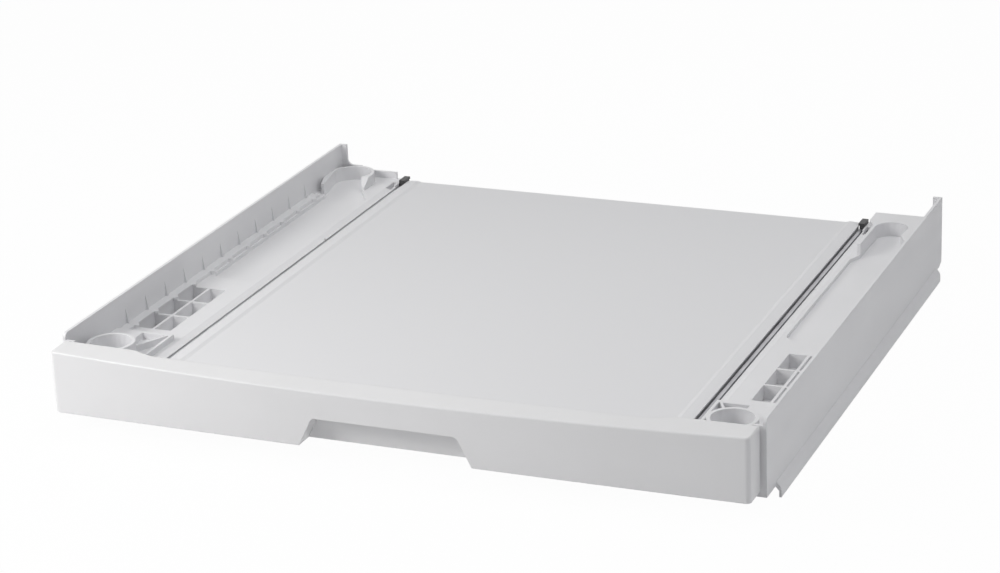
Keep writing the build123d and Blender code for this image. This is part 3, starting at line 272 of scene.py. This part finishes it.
def relief(tree, height, depth, strength, rounding=0.0):
    """Gives a normal that shows a height as relief, over edges rounded by a small radius."""
    bump = tree.nodes.new("ShaderNodeBump")
    bump.inputs["Distance"].default_value = depth
    bump.inputs["Strength"].default_value = strength
    tree.links.new(height, bump.inputs["Height"])
    if rounding:
        soft_edge = tree.nodes.new("ShaderNodeBevel")
        soft_edge.samples = edge_samples
        soft_edge.inputs["Radius"].default_value = rounding
        tree.links.new(soft_edge.outputs["Normal"], bump.inputs["Normal"])
    return bump.outputs["Normal"]


print("texture helpers ready")

# %% [markdown]
# ## White moulded plastic
#
# The frames and the drawer front are thick white mouldings. Up close such a part isn't one flat colour:
# the shade drifts a little where the plastic flowed, the gloss is a bit uneven, and the tool leaves a
# very fine skin. The long walls also show faint streaks along the flow. Three sizes of noise do this,
# each so weak that it is felt more than seen.

# %% White plastic of the mouldings
plastic_ior = 1.5


def moulded_white(name, low, high, roughness, grain_depth, rounding):
    """A satin white moulding with drifting shade, uneven gloss and a fine skin."""
    finish, tree, shader, place = new_finish(name, metallic=0.0, roughness=roughness)
    drift = noise(tree, place, scale=9.0, detail=4.0)
    flow = noise(tree, place, scale=60.0, detail=2.0, stretch=(1, 0.12, 1))
    skin = noise(tree, place, scale=1400.0, detail=2.0)
    gloss = spread_between(tree, flow, low=roughness - 0.05, high=roughness + 0.06)
    tree.links.new(ramp(tree, drift, low, high), shader.inputs["Base Color"])
    tree.links.new(gloss, shader.inputs["Roughness"])
    tree.links.new(relief(tree, skin, grain_depth, strength=0.35, rounding=rounding), shader.inputs["Normal"])
    shader.inputs["IOR"].default_value = plastic_ior
    return finish


frame_white = moulded_white("frame_white", low=(0.792, 0.792, 0.806), high=(0.826, 0.826, 0.838),
                            roughness=0.42, grain_depth=0.00008, rounding=0.0006)
front_white = moulded_white("front_white", low=(0.800, 0.800, 0.806), high=(0.826, 0.826, 0.832),
                            roughness=0.34, grain_depth=0.00004, rounding=0.0008)
print("white finishes:", frame_white.name, front_white.name)

# %% [markdown]
# ## The shelf's textured white
#
# A laundry basket or a folded towel rests on the shelf, so its skin is etched with a fine stipple that
# hides scratches. A Voronoi texture gives the small even cells of an etched tool, and a little noise
# breaks them up. The finish is duller than the frames, so the shelf reads as the quieter surface.

# %% Stippled white
def stippled_white(name, low, high, cell):
    """A matt white with the small bumps of an etched tool, one cell wide."""
    finish, tree, shader, place = new_finish(name, metallic=0.0, roughness=0.56)
    drift = noise(tree, place, scale=7.0, detail=4.0)
    cells = tree.nodes.new("ShaderNodeTexVoronoi")
    cells.inputs["Scale"].default_value = 1.0 / cell
    cells.inputs["Randomness"].default_value = 1.0
    tree.links.new(place, cells.inputs["Vector"])
    speckle = noise(tree, place, scale=900.0, detail=2.0)
    stipple = relief(tree, cells.outputs["Distance"], depth=0.00018, strength=0.6, rounding=0.0006)
    tree.links.new(ramp(tree, drift, low, high), shader.inputs["Base Color"])
    tree.links.new(spread_between(tree, speckle, low=0.50, high=0.62), shader.inputs["Roughness"])
    tree.links.new(stipple, shader.inputs["Normal"])
    return finish


shelf_white = stippled_white("shelf_white", low=(0.700, 0.700, 0.715), high=(0.735, 0.735, 0.748),
                             cell=0.0011)
print("shelf finish:", shelf_white.name)

# %% [markdown]
# ## Zinc plated steel
#
# The slides and rails are rolled strip with a bright zinc coat. Rolling leaves fine lines along the
# strip, and zinc has a faint cloudy crystal pattern and a cool tint. A picture of such steel would
# repeat along a slide half a metre long. Noise doesn't repeat, so it is squeezed across the strip and
# drawn out along it for the lines, and a broad one is added for the clouds.

# %% Plated steel
def plated_steel(name, low, high, roughness, grain):
    """Rolled steel with a bright coat. The grain says how the rolling lines are drawn out."""
    finish, tree, shader, place = new_finish(name, metallic=1.0, roughness=roughness)
    lines = noise(tree, place, scale=1600.0, detail=3.0, stretch=grain)
    clouds = noise(tree, place, scale=55.0, detail=5.0)
    gloss = spread_between(tree, lines, low=roughness - 0.10, high=roughness + 0.12)
    tree.links.new(ramp(tree, clouds, low, high), shader.inputs["Base Color"])
    tree.links.new(gloss, shader.inputs["Roughness"])
    tree.links.new(relief(tree, lines, depth=0.00003, strength=0.5, rounding=0.0003), shader.inputs["Normal"])
    return finish


along_slide = (1.0, 0.01, 1.0)
along_rail = (0.01, 1.0, 1.0)
slide_zinc = plated_steel("slide_zinc", low=(0.40, 0.40, 0.42), high=(0.50, 0.50, 0.52),
                          roughness=0.42, grain=along_slide)
rail_zinc = plated_steel("rail_zinc", low=(0.56, 0.57, 0.59), high=(0.68, 0.69, 0.71),
                         roughness=0.40, grain=along_rail)
cage_steel = plated_steel("cage_steel", low=(0.48, 0.48, 0.50), high=(0.58, 0.58, 0.60),
                          roughness=0.46, grain=along_slide)
print("steel finishes:", slide_zinc.name, rail_zinc.name, cage_steel.name)

# %% [markdown]
# ## Black paint
#
# The hooks behind the slides are steel under a black powder coat. The coat is baked on, which leaves a
# faint orange peel in the gloss and a colour that is nearly even. One flat black would look like a hole
# in the picture, so a fine noise moves the colour, the gloss and the relief together, as a real peel does.

# %% Powder coat
def powder_coat(name, low, high):
    """A dark baked coat with a fine orange peel."""
    finish, tree, shader, place = new_finish(name, metallic=0.0, roughness=0.5)
    peel = noise(tree, place, scale=900.0, detail=2.0)
    tree.links.new(ramp(tree, peel, low, high), shader.inputs["Base Color"])
    tree.links.new(spread_between(tree, peel, low=0.44, high=0.58), shader.inputs["Roughness"])
    tree.links.new(relief(tree, peel, depth=0.00005, strength=0.4, rounding=0.0003), shader.inputs["Normal"])
    return finish


hook_black = powder_coat("hook_black", low=(0.035, 0.035, 0.037), high=(0.060, 0.060, 0.062))
print("coat:", hook_black.name)

# %% [markdown]
# ## Ball bearing steel and screws
#
# The balls are ground and polished, so they are nearly mirrors with a trace of haze. The screw heads are
# plated like the rails, but pressed in a die, which leaves a slightly mottled skin instead of lines.
# One helper makes both, because they differ only in shade, gloss and the size of their mottle.

# %% Polished balls and screw heads
def turned_steel(name, low, high, roughness, mottle):
    """Small steel parts without a grain direction."""
    finish, tree, shader, place = new_finish(name, metallic=1.0, roughness=roughness)
    spots = noise(tree, place, scale=mottle, detail=3.0)
    gloss = spread_between(tree, spots, low=roughness - 0.05, high=roughness + 0.08)
    tree.links.new(ramp(tree, spots, low, high), shader.inputs["Base Color"])
    tree.links.new(gloss, shader.inputs["Roughness"])
    tree.links.new(relief(tree, spots, depth=0.00002, strength=0.3, rounding=0.0002), shader.inputs["Normal"])
    return finish


ball_steel = turned_steel("ball_steel", low=(0.70, 0.70, 0.72), high=(0.80, 0.80, 0.82),
                          roughness=0.12, mottle=700.0)
screw_zinc = turned_steel("screw_zinc", low=(0.58, 0.58, 0.60), high=(0.70, 0.70, 0.71),
                          roughness=0.32, mottle=900.0)
print("small steel finishes:", ball_steel.name, screw_zinc.name)

# %% [markdown]
# ## Rubber
#
# The pads under the frames and the bumpers behind the drawer front are black rubber. Rubber is never
# quite black: it is a warm dark grey with a matt, slightly pitted skin and a pale bloom in patches.
# Two noises are enough: a broad one for the bloom, which changes shade and gloss, and a fine one for
# the pits, which only changes the relief.

# %% Rubber
def soft_rubber(name, low, high):
    """Matt dark rubber with a pitted skin and a faint bloom."""
    finish, tree, shader, place = new_finish(name, metallic=0.0, roughness=0.82)
    bloom = noise(tree, place, scale=40.0, detail=5.0)
    pits = noise(tree, place, scale=1800.0, detail=2.0)
    tree.links.new(ramp(tree, bloom, low, high, start=0.4, end=0.75), shader.inputs["Base Color"])
    tree.links.new(spread_between(tree, bloom, low=0.76, high=0.90), shader.inputs["Roughness"])
    tree.links.new(relief(tree, pits, depth=0.0001, strength=0.6, rounding=0.0004), shader.inputs["Normal"])
    return finish


black_rubber = soft_rubber("black_rubber", low=(0.018, 0.018, 0.017), high=(0.040, 0.039, 0.038))
print("rubber finish:", black_rubber.name)

# %% [markdown]
# ## Giving each piece its finish
#
# A table from finish to pieces is easier to check than a line for each piece. The loop empties a piece's
# material slots and fills the first one, and stops if a piece was forgotten.

# %% Assign the finishes
sides = ("left", "right")
finish_table = {
    "frame_white": ["left_frame", "right_frame"],
    "front_white": ["fascia", "fascia_back", "grip_liner"],
    "shelf_white": ["shelf_panel"],
    "slide_zinc": [f"{side}_slide_{member}" for side in sides for member in ("outer", "middle", "inner")],
    "rail_zinc": ["front_cross_rail", "rear_cross_rail", "shelf_stiffeners"],
    "cage_steel": [f"{side}_{stage}_cage" for side in sides for stage in ("outer", "inner")],
    "hook_black": ["left_rear_hook", "right_rear_hook"],
    "ball_steel": [f"{side}_{stage}_balls" for side in sides for stage in ("outer", "inner")],
    "screw_zinc": ["rail_screws", "frame_screws", "shelf_screws", "stiffener_screws", "fascia_screws"],
    "black_rubber": ["base_pads", "fascia_bumpers"],
}
for finish_name, pieces in finish_table.items():
    for piece in pieces:
        mesh = nodes[piece].data
        mesh.materials.clear()
        mesh.materials.append(bpy.data.materials[finish_name])
dressed = sorted(piece for pieces in finish_table.values() for piece in pieces)
assert dressed == sorted(nodes), set(nodes) ^ set(dressed)
print("dressed pieces:", len(dressed))

# %% [markdown]
#
# The Standard view shows a colour about as it was typed, which suits a white object on a white ground.

# %% View transform
bpy.context.scene.view_settings.view_transform = "Standard"
